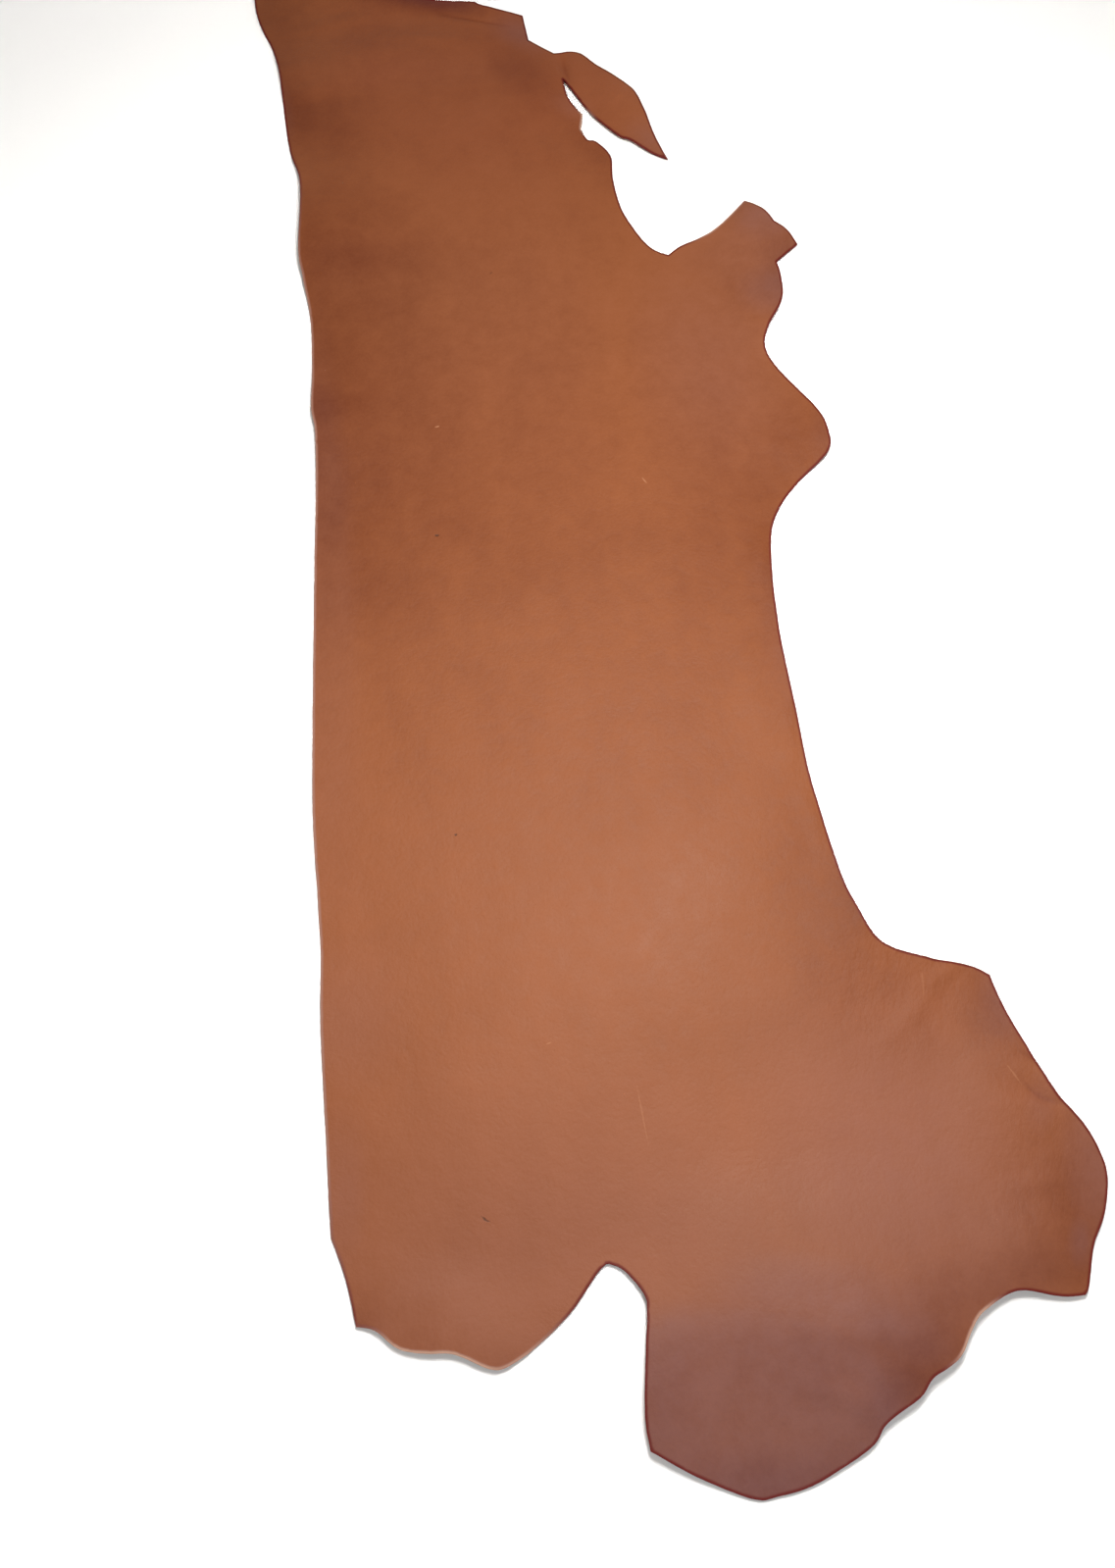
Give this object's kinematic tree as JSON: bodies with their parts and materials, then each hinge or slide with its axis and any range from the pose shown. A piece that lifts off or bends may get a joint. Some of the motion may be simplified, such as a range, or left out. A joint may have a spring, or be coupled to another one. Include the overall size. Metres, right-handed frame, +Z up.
{
  "type": "piece of vegetable-tanned leather",
  "caption": "Side of satin red-brown vegetable-tanned leather laid out grain side up, with a straight backbone edge and the uneven outline of shank, belly, brisket and neck.",
  "frame": {"origin": "middle of the bounding box in plan, at the level the hide lies on", "axes": "+Y along the backbone edge from the tail towards the neck, +X from the backbone towards the belly, +Z up out of the grain side"},
  "size_m": [1.0695, 2.6783, 0.029],
  "materials": {
    "leather": "satin"
  },
  "bodies": {
    "root": {"leather_side": "leather"}
  },
  "joints": []
}
